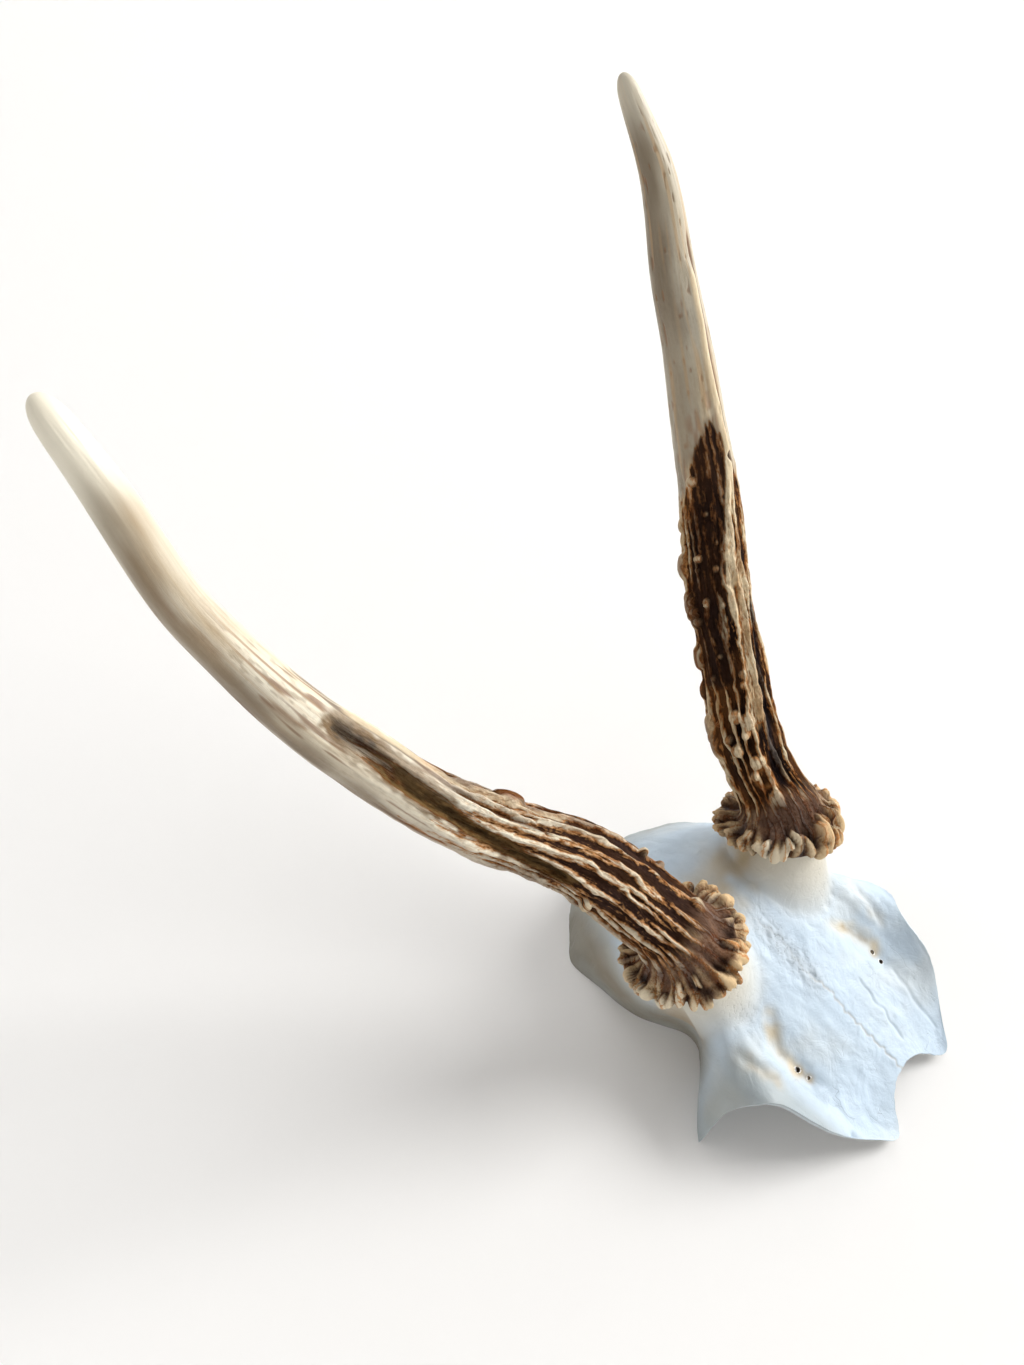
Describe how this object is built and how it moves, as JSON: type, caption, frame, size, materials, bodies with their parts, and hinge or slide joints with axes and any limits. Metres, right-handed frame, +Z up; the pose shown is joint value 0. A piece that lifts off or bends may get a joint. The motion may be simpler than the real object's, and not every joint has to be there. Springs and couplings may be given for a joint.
{
  "type": "roe deer skull plate with two spike antlers",
  "caption": "Bleached roe deer skull plate, sawn flat below, with rough brown coronets and unbranched ivory-tipped antlers that lean back and out",
  "frame": {"origin": "centre of the bounding box's footprint, at the level of the saw cut, which rests on the floor", "axes": "+X is the animal's left, +Y its back, where the antlers lean, and +Z up; the longest extent is along Z"},
  "size_m": [0.1688, 0.1832, 0.1882],
  "materials": {
    "bone": "bleached bone, matt with a slight sheen",
    "antler_left": "antler, rough and dark brown below, smooth ivory towards the tip",
    "antler_right": "antler, rough and dark brown below, smooth ivory towards the tip"
  },
  "bodies": {
    "root": {"skull_plate": "bone", "antler_left": "antler_left", "antler_right": "antler_right"}
  },
  "joints": []
}
